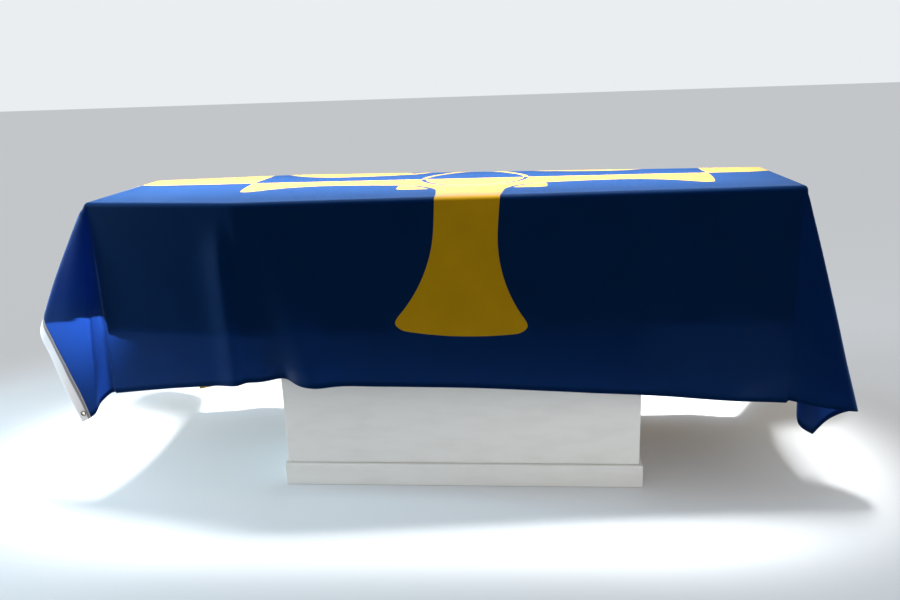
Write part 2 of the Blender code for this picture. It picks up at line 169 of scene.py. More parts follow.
def smooth(share):
    """0 to 1 with a soft start and end."""
    share = min(max(share, 0.0), 1.0)
    return share * share * (3 - 2 * share)


def rim_half(x):
    """Half the width of the lid's flat at a place along the coffin."""
    if x < SHOULDER_X:
        share = max((x - HEAD_X) / (SHOULDER_X - HEAD_X), 0.0)
        return HEAD_HALF + (SHOULDER_HALF - HEAD_HALF) * share - EDGE_RADIUS
    share = min((x - SHOULDER_X) / (FOOT_X - SHOULDER_X), 1.0)
    return SHOULDER_HALF + (FOOT_HALF - SHOULDER_HALF) * share - EDGE_RADIUS


def over_edge(distance):
    """How far out and how far down cloth lies that is a distance past the flat."""
    if distance < BEND_LENGTH:
        turn = distance / BEND_RADIUS
        return BEND_RADIUS * sin(turn), BEND_RADIUS * (1 - cos(turn))
    return BEND_RADIUS, BEND_RADIUS + distance - BEND_LENGTH


def smooth_path(rows, place):
    """Values read from a smooth curve through rows that start with their place."""
    last = len(rows) - 2
    i = max(k for k in range(last + 1) if k == 0 or rows[k][0] <= place)
    step = rows[i + 1][0] - rows[i][0]
    s = (place - rows[i][0]) / step
    found = []
    for column in range(1, len(rows[0])):
        slopes = [(b[column] - a[column]) / (b[0] - a[0]) for a, b in zip(rows, rows[1:])]
        leave = slopes[0] if i == 0 else (slopes[i - 1] + slopes[i]) / 2
        arrive = slopes[last] if i == last else (slopes[i] + slopes[i + 1]) / 2
        found.append(
            (2 * s**3 - 3 * s**2 + 1) * rows[i][column]
            + (s**3 - 2 * s**2 + s) * step * leave
            + (3 * s**2 - 2 * s**3) * rows[i + 1][column]
            + (s**3 - s**2) * step * arrive
        )
    return found


def side_swing(x, side):
    """Swing in degrees of the cloth of a long side, at a place along the coffin."""
    at_head = CORNER_TURNS[CORNERS[(-1, side)]][0][1:3]
    at_foot = CORNER_TURNS[CORNERS[(1, side)]][0][1:3]
    middle = PANEL_MIDDLE["near" if side < 0 else "far"]
    return smooth_path([(HEAD_X, *at_head), (0.0, *middle), (FOOT_X, *at_foot)], x)


def end_swing(y, end):
    """Swing in degrees of the cloth of an end, at a place across the coffin."""
    half = rim_half(end * COFFIN_LENGTH)
    at_near = CORNER_TURNS[CORNERS[(end, -1)]][-1][1:3]
    at_far = CORNER_TURNS[CORNERS[(end, 1)]][-1][1:3]
    middle = PANEL_MIDDLE["head" if end < 0 else "foot"]
    return smooth_path([(-half, *at_near), (0.0, *middle), (half, *at_far)], y)


def fold_height(x, side, distance):
    """How far the soft folds stand out at a point of a long side."""
    height = 0.0
    for where, at_lid, at_hem, start, full, before, after, crest in SIDE_FOLDS:
        if where == ("near" if side < 0 else "far"):
            centre = at_lid + (at_hem - at_lid) * min(distance / FOLD_REACH, FOLD_DRIFT_LIMIT)
            width = before if x < centre else after
            risen = smooth((distance - start) / (full - start))
            height += crest * risen * exp(-(((x - centre) / width) ** 2))
    return height


def draped(x, y):
    """Where a point of the flat flag lies, as a Vector with z from the cloth on the lid."""
    half = rim_half(x)
    side = -1 if y < 0 else 1
    end = -1 if x < 0 else 1
    past_side = abs(y) - half
    past_end = max(HEAD_X - x, x - FOOT_X)
    taken = 0.0
    if past_side <= 0 and past_end <= 0:
        return Vector((x, y, -SETTLE * smooth(min(-past_side, -past_end) / SETTLE_WITHIN)))
    if past_end <= 0:
        distance, foot, out = past_side, (x, side * half), (0.0, side)
        along_x, along_y = side_swing(x, side)
        if side < 0:
            taken = smooth_path(NEAR_TAKEN_UP, x)[0]
    elif past_side <= 0:
        distance, foot, out = past_end, (HEAD_X if end < 0 else FOOT_X, y), (end, 0.0)
        along_x, along_y = end_swing(y, end)
    else:
        distance = hypot(past_end, past_side)
        foot = (HEAD_X if end < 0 else FOOT_X, side * half)
        out = (end * past_end / distance, side * past_side / distance)
        place = degrees(atan2(past_end, past_side))
        top_x, top_y, hem_x, hem_y, taken = smooth_path(CORNER_TURNS[CORNERS[(end, side)]], place)
        opened = smooth((distance - PLEAT_START) / (PLEAT_FULL - PLEAT_START))
        along_x = top_x + (hem_x - top_x) * opened
        along_y = top_y + (hem_y - top_y) * opened
    outward, down = over_edge(distance)
    down *= 1 - taken * smooth(distance / TAKEN_UP_WITHIN)
    if past_end > 0 and past_side > 0:
        across_corner = sin(2 * atan2(past_end, past_side)) ** 2
        belly = CORNER_BELLY[CORNERS[(end, side)]] * across_corner
        outward += belly * sin(pi * min(distance / BELLY_LENGTH, 1.0))
    if past_end <= 0:
        outward += fold_height(x, side, distance)
    swing = radians(hypot(along_x, along_y)) * smooth((distance - SWING_START) / (SWING_FULL - SWING_START))
    towards = atan2(along_y, along_x)
    return Vector((
        foot[0] + out[0] * outward + down * sin(swing) * cos(towards),
        foot[1] + out[1] * outward + down * sin(swing) * sin(towards),
        -down * cos(swing),
    ))


def facing(x, y, reach=0.004):
    """Unit normal of the draped cloth, up on the lid and outwards on the sides."""
    along = draped(x + reach, y) - draped(x - reach, y)
    across = draped(x, y + reach) - draped(x, y - reach)
    return along.cross(across).normalized()


# Small uneven waves: how close they are along and across, with the layer of noise they are read
# from, then their heights, and the distances from the lid's edge over which they grow.
LONG_WAVE = (3.1, 1.3, 2.0)
FINE_WAVE = (13.0, 3.4, 7.0)
LONG_WAVE_HEIGHT = 0.0030
FINE_WAVE_HEIGHT = 0.0008
LID_WAVE_HEIGHT = 0.0003
HANGING_WAVE_WITHIN = 0.12
LID_WAVE_WITHIN = 0.04


def wave(x, y, pattern):
    """Height, from -1 to 1, of an uneven wave at a flat place."""
    return noise.noise(Vector((x * pattern[0], y * pattern[1], pattern[2])))


def soft_wrinkle(x, y):
    """Height of the small uneven waves that light cloth keeps."""
    past = max(abs(y) - rim_half(x), HEAD_X - x, x - FOOT_X)
    hanging = smooth(past / HANGING_WAVE_WITHIN)
    on_lid = smooth(-past / LID_WAVE_WITHIN)
    long_wave = wave(x, y, LONG_WAVE)
    hung = LONG_WAVE_HEIGHT * long_wave + FINE_WAVE_HEIGHT * wave(x, y, FINE_WAVE)
    return hanging * hung + on_lid * LID_WAVE_HEIGHT * long_wave


def cloth_point(x, y, lift=0.0):
    """A point of the worn cloth in the row's frame, moved off the cloth by lift."""
    height = soft_wrinkle(x, y) + lift
    return draped(x, y) + facing(x, y) * height + SHIFT


# The arms of the cross, from its centre out: half width at the neck and the neck's place, the
# place where the widening arc starts and its radius, and the half width that it never passes.
LONG_ARM = {"neck": 0.085, "neck_at": 0.43, "flare_at": 0.46, "flare_radius": 0.40, "widest": 0.19}
SIDE_ARM = {"neck": 0.100, "neck_at": 0.42, "flare_at": 0.43, "flare_radius": 0.27, "widest": 0.245}
# The steepest slope of a widening edge.
FLARE_SLOPE = 0.8
# Ends and tips of the arms, the inner corners, the lobes, the ring, and how the near arm leans.
LONG_ARM_END = 0.763
SIDE_ARM_END = 0.692
ARM_END_ROUND = 0.50
ARM_TIP_ROUND = 0.040
INNER_CORNER = (0.243, 0.272)
INNER_CORNER_RADIUS = 0.150
LOBE_REACH = (0.214, 0.220)
LOBE_ROUND = 0.024
LOBE_GAP = 0.014
RING_RADIUS = 0.156
RING_WIDTH = 0.014
NEAR_LEAN = 0.072
LEAN_REACH = 0.7
# Hems and stitches.
HEM_WIDTH = 0.014
STITCH_LINE = 0.0120
STITCH_WIDTH = 0.0011
STITCH_LENGTH = 0.0042
STITCH_SHARE = 0.7


def soft_min(a, b, radius):
    """The smaller of two depths, with the corner between them rounded."""
    if a > radius or b > radius:
        return min(a, b)
    return radius - hypot(radius - a, radius - b)


def arc_rise(radius, run):
    """How far an arc leaves its tangent over a run along it."""
    return radius - (radius * radius - run * run) ** 0.5


def arm_half(along, arm, corner_at, corner_half):
    """Half width of an arm: an arc from the inner corner in to the neck, an arc out, then straight."""
    if along < arm["neck_at"]:
        run = arm["neck_at"] - corner_at
        rise = corner_half - arm["neck"]
        radius = (run * run + rise * rise) / (2.0 * rise)
        return arm["neck"] + arc_rise(radius, min(arm["neck_at"] - along, run))
    past = max(along - arm["flare_at"], 0.0)
    on_arc = min(past, arm["flare_radius"] * FLARE_SLOPE / hypot(1.0, FLARE_SLOPE))
    half = arm["neck"] + arc_rise(arm["flare_radius"], on_arc) + FLARE_SLOPE * (past - on_arc)
    return min(half, arm["widest"])


def in_arm(along, across, arm, corner, end):
    """Depth inside one arm of the cross; negative outside it."""
    half = arm_half(along, arm, corner[0], corner[1] - INNER_CORNER_RADIUS)
    return soft_min(half - across, end - along - across * across * ARM_END_ROUND, ARM_TIP_ROUND)


def in_cross(x, y):
    """Depth inside the cross, whose arms meet in round inner corners."""
    x, y = abs(x), abs(y)
    side, along = INNER_CORNER
    if x < side and y < along:
        return hypot(side - x, along - y) - INNER_CORNER_RADIUS
    in_long = in_arm(y, x, LONG_ARM, (along, side), LONG_ARM_END)
    in_side = in_arm(x, y, SIDE_ARM, (side, along), SIDE_ARM_END)
    return max(in_long, in_side)


def in_lobe(x, y):
    """Depth inside the small lobes that sit in the inner corners, a thin gap away from the cross."""
    x, y = abs(x), abs(y)
    in_corner = INNER_CORNER_RADIUS - hypot(INNER_CORNER[0] - x, INNER_CORNER[1] - y) - LOBE_GAP
    return min(in_corner, soft_min(LOBE_REACH[0] - x, LOBE_REACH[1] - y, LOBE_ROUND))


def printed(x, y):
    """The place on the printed figure; the near panel hangs a little askew, so its arm leans."""
    lean = NEAR_LEAN * max(-y - rim_half(x), 0.0) * exp(-((x / LEAN_REACH) ** 4))
    return x - FLAG_X + lean, y - FLAG_Y


def new_mesh(name, points, faces, material, uvs=None):
    """A smooth mesh object."""
    mesh = bpy.data.meshes.new(name)
    mesh.from_pydata([tuple(p) for p in points], [], faces)
    mesh.update()
    if uvs:
        layer = mesh.uv_layers.new(name="flat")
        for loop in mesh.loops:
            layer.data[loop.index].uv = uvs[loop.vertex_index]
    mesh.shade_smooth()
    mesh.materials.append(material)
    made = bpy.data.objects.new(name, mesh)
    bpy.context.scene.collection.objects.link(made)
    return made


def grid_faces(long, wide, skip=()):
    """Faces of a grid whose points are given column by column."""
    faces = []
    for i in range(long - 1):
        for j in range(wide - 1):
            if (i, j) not in skip:
                faces.append((i * wide + j, (i + 1) * wide + j, (i + 1) * wide + j + 1, i * wide + j + 1))
    return faces


def spaced(start, stop, step):
    """Places from start to stop about a step apart."""
    count = max(int(round((stop - start) / step)), 1)
    return [start + (stop - start) * k / count for k in range(count + 1)]


def principled(name, colour, roughness, **values):
    """A material with one Principled shader, and that shader and its tree."""
    made = bpy.data.materials.new(name)
    made.use_nodes = True
    tree = made.node_tree
    shader = tree.nodes["Principled BSDF"]
    shader.inputs["Base Color"].default_value = (*colour, 1.0)
    shader.inputs["Roughness"].default_value = roughness
    for key, value in values.items():
        shader.inputs[key.replace("_", " ")].default_value = value
    return made, shader, tree


def math_node(tree, kind, first, second=0.0, third=0.0):
    """A Math node's output; each input is a number or a socket."""
    node = tree.nodes.new("ShaderNodeMath")
    node.operation = kind
    for socket, value in zip(node.inputs, (first, second, third)):
        if hasattr(value, "links"):
            tree.links.new(value, socket)
        else:
            socket.default_value = value
    return node.outputs[0]


def step_node(tree, value, width=0.0006):
    """0 below zero and 1 above it, with a narrow soft edge."""
    node = tree.nodes.new("ShaderNodeMapRange")
    node.inputs["From Min"].default_value = -width
    node.inputs["From Max"].default_value = width
    tree.links.new(value, node.inputs["Value"])
    return node.outputs["Result"]


def mix_colours(tree, share, first, second):
    """A colour mix; the share is a socket, and each colour is a tuple or a socket."""
    node = tree.nodes.new("ShaderNodeMix")
    node.data_type = "RGBA"
    tree.links.new(share, node.inputs["Factor"])
    for socket, value in ((node.inputs["A"], first), (node.inputs["B"], second)):
        sockets = [s for s in node.inputs if s.name == socket.name and s.type == "RGBA"]
        if hasattr(value, "links"):
            tree.links.new(value, sockets[0])
        else:
            sockets[0].default_value = (*value, 1.0)
    return [s for s in node.outputs if s.type == "RGBA"][0]


def attribute(tree, name):
    """The value that each point of the mesh carries under a name."""
    node = tree.nodes.new("ShaderNodeAttribute")
    node.attribute_name = name
    return node.outputs["Fac"]


# Colours as red, green and blue: what the flag's cloth sends back, what shines through it, its
# threads, and the canvas, outside and where the cloth lies inside it, with its thread.
BLUE = (0.0005, 0.0085, 0.0340)
YELLOW = (0.300, 0.165, 0.0)
BLUE_THROUGH = (0.030, 0.140, 0.800)
YELLOW_THROUGH = (0.80, 0.50, 0.02)
BLUE_THREAD = (0.004, 0.030, 0.110)
YELLOW_THREAD = (0.36, 0.21, 0.01)
CANVAS = (0.74, 0.68, 0.66)
CANVAS_INNER = (0.22, 0.19, 0.20)
CANVAS_THREAD = (0.86, 0.84, 0.80)
# Tints of the flag cloth's sheen and gloss.
SHEEN_TINT = (0.16, 0.40, 1.0, 1.0)
GLOSS_TINT = (0.10, 0.40, 1.0, 1.0)
# Shares of the light that the flag's cloth scatters through and that passes between its threads.
THROUGH_SHARE = 0.135
GAP_SHARE = 0.003
# Weaves: threads a metre and strength.
FLAG_WEAVE = (1300.0, 0.30)
CANVAS_WEAVE = (700.0, 0.60)
# Roughness, from lowest to highest.
FLAG_ROUGHNESS = (0.38, 0.47)
CANVAS_ROUGHNESS = (0.78, 0.92)
OAK_ROUGHNESS = (0.36, 0.55)
PAINT_ROUGHNESS = (0.40, 0.62)
BRASS_ROUGHNESS = (0.26, 0.50)
# Cloudy patterns: scale, detail and, where it isn't even, how close they are along each axis.
FLAG_CLOUDS = (6.0, 4.0)
CANVAS_CLOUDS = (30.0, 4.0)
OAK_GRAIN = (3.0, 6.0, (1.2, 22.0, 22.0))
OAK_PORES = (60.0, 3.0, (0.6, 9.0, 9.0))
PAINT_SCUFFS = (9.0, 8.0, (1.0, 1.0, 3.5))
PAINT_PEEL = (420.0, 2.0)
BRASS_TARNISH = (240.0, 5.0)
BRASS_RUBS = (900.0, 2.0)
# Bumps: strength and depth in metres.
OAK_BUMP = (0.35, 0.0004)
PAINT_BUMP = (0.25, 0.0003)
BRASS_BUMP = (0.2, 0.0001)
WEAVE_DEPTH = 0.0003
CREASE_HEIGHT = 6.0
# The canvas's two stitch lines and the soft edge of its darker part, from the cloth's edge in it.
CANVAS_STITCH_LINES = (0.0105, -0.0245)
CANVAS_INNER_EDGE = 0.002
# Colours of the oak's pale and dark grain and its pores, of the paint, and of the brass.
OAK_PALE = (0.36, 0.20, 0.10)
OAK_DARK = (0.17, 0.085, 0.04)
OAK_PORE = (0.07, 0.035, 0.018)
PAINT_CLEAN = (0.74, 0.72, 0.68)
PAINT_SCUFFED = (0.70, 0.68, 0.64)
BRASS_BRIGHT = (0.30, 0.25, 0.14)
BRASS_DULL = (0.13, 0.105, 0.06)


def flat_place(tree):
    """The flat place of each point of a cloth, along and across, in metres."""
    place = tree.nodes.new("ShaderNodeUVMap")
    place.uv_map = "flat"
    split = tree.nodes.new("ShaderNodeSeparateXYZ")
    tree.links.new(place.outputs["UV"], split.inputs[0])
    return place.outputs["UV"], split.outputs["X"], split.outputs["Y"]


def stitches(tree, name, line):
    """1 on the stitches of a row that lies a distance from an edge."""
    off_line = math_node(tree, "ABSOLUTE", math_node(tree, "SUBTRACT", attribute(tree, name), line))
    on_line = math_node(tree, "LESS_THAN", off_line, STITCH_WIDTH / 2)
    place, along, across = flat_place(tree)
    run = math_node(tree, "ADD", along, across)
    share = math_node(tree, "FRACT", math_node(tree, "MULTIPLY", run, 1 / STITCH_LENGTH))
    return math_node(tree, "MULTIPLY", on_line, math_node(tree, "LESS_THAN", share, STITCH_SHARE))


def uneven(tree, colour):
    """A colour with the faint cloudy unevenness of printed cloth."""
    cloud = tree.nodes.new("ShaderNodeTexNoise")
    cloud.inputs["Scale"].default_value = 9.0
    cloud.inputs["Detail"].default_value = 5.0
    tree.links.new(flat_place(tree)[0], cloud.inputs["Vector"])
    shade = tree.nodes.new("ShaderNodeMapRange")
    shade.inputs["To Min"].default_value = 0.82
    shade.inputs["To Max"].default_value = 1.16
    tree.links.new(cloud.outputs["Fac"], shade.inputs["Value"])
    node = tree.nodes.new("ShaderNodeVectorMath")
    node.operation = "SCALE"
    tree.links.new(colour, node.inputs[0])
    tree.links.new(shade.outputs["Result"], node.inputs["Scale"])
    return node.outputs[0]


def weave_bump(tree, threads, strength):
    """A plain weave of a number of threads a metre, with faint soft creases."""
    place, along, across = flat_place(tree)
    warp = math_node(tree, "SINE", math_node(tree, "MULTIPLY", along, threads * pi))
    weft = math_node(tree, "SINE", math_node(tree, "MULTIPLY", across, threads * pi))
    woven = math_node(tree, "MULTIPLY", warp, weft)
    crease = tree.nodes.new("ShaderNodeTexNoise")
    crease.inputs["Scale"].default_value = 14.0
    crease.inputs["Detail"].default_value = 3.0
    tree.links.new(place, crease.inputs["Vector"])
    height = math_node(tree, "MULTIPLY_ADD", crease.outputs["Fac"], CREASE_HEIGHT, woven)
    return bumped(tree, height, strength, WEAVE_DEPTH)


def flag_material():
    """Light polyester, a little sheer, blue and yellow, with the cross in the other half's colour."""
    made, shader, tree = principled(
        "flag cloth", BLUE, 0.42, Sheen_Weight=0.48, Sheen_Roughness=0.35, Specular_IOR_Level=0.03
    )
    shader.inputs["Sheen Tint"].default_value = SHEEN_TINT
    shader.inputs["Specular Tint"].default_value = GLOSS_TINT
    far = step_node(tree, attribute(tree, "far"))
    cross = step_node(tree, attribute(tree, "cross"))
    lobe = step_node(tree, attribute(tree, "lobe"))
    figure = math_node(tree, "MAXIMUM", cross, lobe)
    off_ring = math_node(tree, "ABSOLUTE", attribute(tree, "ring"))
    ring = step_node(tree, math_node(tree, "SUBTRACT", RING_WIDTH / 2, off_ring))
    first = math_node(tree, "ABSOLUTE", math_node(tree, "SUBTRACT", far, figure))
    yellow = math_node(tree, "ABSOLUTE", math_node(tree, "SUBTRACT", first, ring))
    cloth = mix_colours(tree, yellow, BLUE, YELLOW)
    thread = mix_colours(tree, yellow, BLUE_THREAD, YELLOW_THREAD)
    stitched = mix_colours(tree, stitches(tree, "edge", STITCH_LINE), cloth, thread)
    tree.links.new(uneven(tree, stitched), shader.inputs["Base Color"])
    tree.links.new(weave_bump(tree, *FLAG_WEAVE), shader.inputs["Normal"])
    tree.links.new(between(tree, cloudy(tree, *FLAG_CLOUDS), *FLAG_ROUGHNESS), shader.inputs["Roughness"])
    through = tree.nodes.new("ShaderNodeBsdfTranslucent")
    tree.links.new(mix_colours(tree, yellow, BLUE_THROUGH, YELLOW_THROUGH), through.inputs["Color"])
    gap = tree.nodes.new("ShaderNodeBsdfTransparent")
    soft = tree.nodes.new("ShaderNodeMixShader")
    soft.inputs[0].default_value = THROUGH_SHARE
    tree.links.new(shader.outputs[0], soft.inputs[1])
    tree.links.new(through.outputs[0], soft.inputs[2])
    sheer = tree.nodes.new("ShaderNodeMixShader")
    sheer.inputs[0].default_value = GAP_SHARE
    tree.links.new(soft.outputs[0], sheer.inputs[1])
    tree.links.new(gap.outputs[0], sheer.inputs[2])
    tree.links.new(sheer.outputs[0], tree.nodes["Material Output"].inputs["Surface"])
    return made


def canvas_material():
    """Plain canvas of the heading, darker along its inner third where the cloth lies inside it."""
    made, shader, tree = principled("heading canvas", CANVAS, 0.85, Specular_IOR_Level=0.1)
    inner = step_node(tree, attribute(tree, "inner"), CANVAS_INNER_EDGE)
    colour = mix_colours(tree, inner, CANVAS, CANVAS_INNER)
    first, second = [stitches(tree, "inner", line) for line in CANVAS_STITCH_LINES]
    stitched = mix_colours(tree, math_node(tree, "MAXIMUM", first, second), colour, CANVAS_THREAD)
    tree.links.new(uneven(tree, stitched), shader.inputs["Base Color"])
    tree.links.new(weave_bump(tree, *CANVAS_WEAVE), shader.inputs["Normal"])
    tree.links.new(between(tree, cloudy(tree, *CANVAS_CLOUDS), *CANVAS_ROUGHNESS), shader.inputs["Roughness"])
    return made


def cloudy(tree, scale, detail, stretch=(1.0, 1.0, 1.0)):
    """A cloudy value in the object's own metres, stretched along an axis."""
    place = tree.nodes.new("ShaderNodeTexCoord")
    mapping = tree.nodes.new("ShaderNodeMapping")
    mapping.inputs["Scale"].default_value = stretch
    cloud = tree.nodes.new("ShaderNodeTexNoise")
    cloud.inputs["Scale"].default_value = scale
    cloud.inputs["Detail"].default_value = detail
    tree.links.new(place.outputs["Object"], mapping.inputs["Vector"])
    tree.links.new(mapping.outputs[0], cloud.inputs["Vector"])
    return cloud.outputs["Fac"]


def between(tree, value, low, high):
    """A cloudy value spread between two numbers."""
    node = tree.nodes.new("ShaderNodeMapRange")
    node.inputs["From Min"].default_value = 0.3
    node.inputs["From Max"].default_value = 0.7
    node.inputs["To Min"].default_value = low
    node.inputs["To Max"].default_value = high
    tree.links.new(value, node.inputs["Value"])
    return node.outputs["Result"]


def bumped(tree, value, strength, depth):
    """A bump from a height value."""
    bump = tree.nodes.new("ShaderNodeBump")
    bump.inputs["Strength"].default_value = strength
    bump.inputs["Distance"].default_value = depth
    tree.links.new(value, bump.inputs["Height"])
    return bump.outputs[0]


def wood_material():
    """Plain lacquered oak with a long grain, fine pores and an uneven lacquer."""
    made, shader, tree = principled("coffin oak", (0.28, 0.15, 0.07), 0.45)
    grain = cloudy(tree, *OAK_GRAIN)
    pores = cloudy(tree, *OAK_PORES)
    streaks = mix_colours(tree, between(tree, grain, 0.0, 1.0), OAK_PALE, OAK_DARK)
    deep = mix_colours(tree, between(tree, pores, -0.6, 0.5), streaks, OAK_PORE)
    tree.links.new(deep, shader.inputs["Base Color"])
    tree.links.new(between(tree, grain, *OAK_ROUGHNESS), shader.inputs["Roughness"])
    tree.links.new(bumped(tree, pores, *OAK_BUMP), shader.inputs["Normal"])
    return made


def paint_material():
    """Rolled off-white paint, with its fine orange peel and faint scuffs."""
    made, shader, tree = principled("bier paint", (0.72, 0.70, 0.66), 0.5)
    scuffs = cloudy(tree, *PAINT_SCUFFS)
    peel = cloudy(tree, *PAINT_PEEL)
    colour = mix_colours(tree, between(tree, scuffs, -0.5, 0.9), PAINT_CLEAN, PAINT_SCUFFED)
    tree.links.new(colour, shader.inputs["Base Color"])
    tree.links.new(between(tree, scuffs, *PAINT_ROUGHNESS), shader.inputs["Roughness"])
    tree.links.new(bumped(tree, peel, *PAINT_BUMP), shader.inputs["Normal"])
    return made


def brass_material():
    """Brass with a dull, slightly tarnished skin and fine rubbing marks."""
    made, shader, tree = principled("eyelet brass", (0.20, 0.17, 0.10), 0.34, Metallic=1.0)
    tarnish = cloudy(tree, *BRASS_TARNISH)
    colour = mix_colours(tree, between(tree, tarnish, 0.0, 1.0), BRASS_BRIGHT, BRASS_DULL)
    tree.links.new(colour, shader.inputs["Base Color"])
    tree.links.new(between(tree, tarnish, *BRASS_ROUGHNESS), shader.inputs["Roughness"])
    tree.links.new(bumped(tree, cloudy(tree, *BRASS_RUBS), *BRASS_BUMP), shader.inputs["Normal"])
    return made


CLOTH_LOW = FLAG_X - CLOTH_LENGTH / 2
CLOTH_HIGH = FLAG_X + CLOTH_LENGTH / 2
FLAG_LOW = FLAG_Y - FLAG_WIDTH / 2
FLAG_HIGH = FLAG_Y + FLAG_WIDTH / 2


# Spacing of the cloth's points where it hangs, on the lid, and at the lid's edges, where the close
# rows start a little inside the flat and stop a little past the bend.
HANGING_STEP = 0.0085
LID_STEP = 0.0100
BEND_STEP = 0.0030
BEND_INSIDE = 0.002
BEND_REACH = BEND_LENGTH * 1.6
# Steps across the cloth on each stretch of it.
STEPS_ACROSS = {"near": 62, "bend": 10, "lid": 46, "far": 84}


def places_along():
    """Places along the cloth, close together where it bends over the lid's two ends."""
    places = spaced(CLOTH_LOW, HEAD_X - BEND_REACH, HANGING_STEP)
    places += spaced(HEAD_X - BEND_REACH, HEAD_X + BEND_INSIDE, BEND_STEP)[1:]
    places += spaced(HEAD_X + BEND_INSIDE, FOOT_X - BEND_INSIDE, LID_STEP)[1:]
    places += spaced(FOOT_X - BEND_INSIDE, FOOT_X + BEND_REACH, BEND_STEP)[1:]
    return places + spaced(FOOT_X + BEND_REACH, CLOTH_HIGH, HANGING_STEP)[1:]


def places_across(half):
    """Places across the cloth, close together at the two edges of a lid of this half width."""
    bands = [
        (-half - BEND_REACH, STEPS_ACROSS["near"]),
        (-half + BEND_INSIDE, STEPS_ACROSS["bend"]),
        (half - BEND_INSIDE, STEPS_ACROSS["lid"]),
        (half + BEND_REACH, STEPS_ACROSS["bend"]),
        (FLAG_HIGH, STEPS_ACROSS["far"]),
    ]
    low = FLAG_LOW
    places = [low]
    for high, count in bands:
        places += [low + (high - low) * (k + 1) / count for k in range(count)]
        low = high
    return places


def make_cloth(material):
    """The flag's cloth, with what the printed figure needs at each of its points."""
    columns = places_along()
    flat = [(x, y) for x in columns for y in places_across(rim_half(x))]
    points = [cloth_point(x, y) for x, y in flat]
    faces = grid_faces(len(columns), len(flat) // len(columns))
    made = new_mesh("flag_cloth", points, faces, material, flat)
    carry_print(made, flat)
    return made


def carry_print(made, flat):
    """Gives each point of a piece of flag cloth its place in the printed figure and from the edges."""
    values = {"far": [], "cross": [], "lobe": [], "ring": [], "edge": []}
    for place in flat:
        from_side = min(place[1] - FLAG_LOW, FLAG_HIGH - place[1])
        values["edge"].append(min(from_side, CLOTH_HIGH - place[0]))
        x, y = printed(*place)
        values["far"].append(y)
        values["cross"].append(in_cross(x, y))
        values["lobe"].append(in_lobe(x, y))
        values["ring"].append(hypot(x, y) - RING_RADIUS)
    for name, numbers in values.items():
        layer = made.data.attributes.new(name, "FLOAT", "POINT")
        layer.data.foreach_set("value", numbers)


# Rows of points across a hem, and how far behind the cloth its edge and its other rows lie.
HEM_ROWS = 4
HEM_EDGE_BEHIND = 0.0004
HEM_BEHIND = 0.0009


def make_hem(name, along, edge, inner, material):
    """The turned-in back of a hem: rows of flat places along it, from its edge to its inner line."""
    flat = []
    points = []
    for place in along:
        for k in range(HEM_ROWS):
            reach = edge + (inner - edge) * k / (HEM_ROWS - 1)
            x, y = (place, reach) if name != "hem_fly" else (reach, place)
            points.append(cloth_point(x, y, -HEM_BEHIND if k else -HEM_EDGE_BEHIND))
            flat.append((x, y))
    made = new_mesh(name, points, grid_faces(len(along), HEM_ROWS), material, flat)
    carry_print(made, flat)
    return made


# The heading: spacing of its points across and at its ends, spacing between, length of its ends,
# half its thickness, the radius of its holes, and how far the cloth's edge reaches into it.
HEADING_STEP = 0.0025
HEADING_LONG_STEP = 0.009
HEADING_END = 0.06
HEADING_HALF_THICK = 0.0011
HOLE_RADIUS = 0.0052
CLOTH_IN_HEADING = 0.013
EYELET_X = CLOTH_LOW - HEADING_WIDTH + EYELET_FROM_EDGE
EYELET_Y = {-1: FLAG_LOW + EYELET_FROM_END, 1: FLAG_HIGH - EYELET_FROM_END}


def make_heading(material):
    """The canvas heading: two layers round the cloth's edge, with a hole for each eyelet."""
    across = spaced(CLOTH_LOW - HEADING_WIDTH, CLOTH_LOW, HEADING_STEP)
    along = spaced(FLAG_LOW, FLAG_LOW + HEADING_END, HEADING_STEP)
    along += spaced(FLAG_LOW + HEADING_END, FLAG_HIGH - HEADING_END, HEADING_LONG_STEP)[1:]
    along += spaced(FLAG_HIGH - HEADING_END, FLAG_HIGH, HEADING_STEP)[1:]
    wide = len(along)
    flat = [(x, y) for x in across for y in along]
    front = [cloth_point(x, y, HEADING_HALF_THICK) for x, y in flat]
    back = [cloth_point(x, y, -HEADING_HALF_THICK) for x, y in flat]
    skip = set()
    for i in range(len(across) - 1):
        for j in range(wide - 1):
            x, y = (across[i] + across[i + 1]) / 2, (along[j] + along[j + 1]) / 2
            if any(hypot(x - EYELET_X, y - hole_y) < HOLE_RADIUS for hole_y in EYELET_Y.values()):
                skip.add((i, j))
    faces = grid_faces(len(across), wide, skip)
    count = len(front)
    faces += [tuple(k + count for k in reversed(face)) for face in faces]
    rim = [i * wide for i in range(len(across))]
    rim += [(len(across) - 1) * wide + j for j in range(1, wide)]
    rim += [i * wide + wide - 1 for i in range(len(across) - 2, -1, -1)]
    rim += list(range(wide - 2, 0, -1))
    faces += [(b, a, a + count, b + count) for a, b in zip(rim, rim[1:] + rim[:1])]
    made = new_mesh("canvas_heading", front + back, faces, material, flat + flat)
    layer = made.data.attributes.new("inner", "FLOAT", "POINT")
    layer.data.foreach_set("value", [x - (CLOTH_LOW - CLOTH_IN_HEADING) for x, y in flat + flat])
    return made


# The eyelet: steps round its rolled crest, the crest's radius, half width, foot and rise, then
# rows of radius and height round its flange and barrel, and the number of its sides.
CREST_STEPS = 12
CREST_RADIUS = 0.0066
CREST_HALF = 0.0020
CREST_FOOT = 0.0014
CREST_RISE = 0.0012
FLANGE_ROWS = [
    (0.0086, 0.0012), (0.0086, -0.0012), (0.0080, -0.0022), (0.0054, -0.0022), (0.0046, -0.0014),
]
EYELET_SIDES = 40
EYELET_FACING_REACH = 0.015


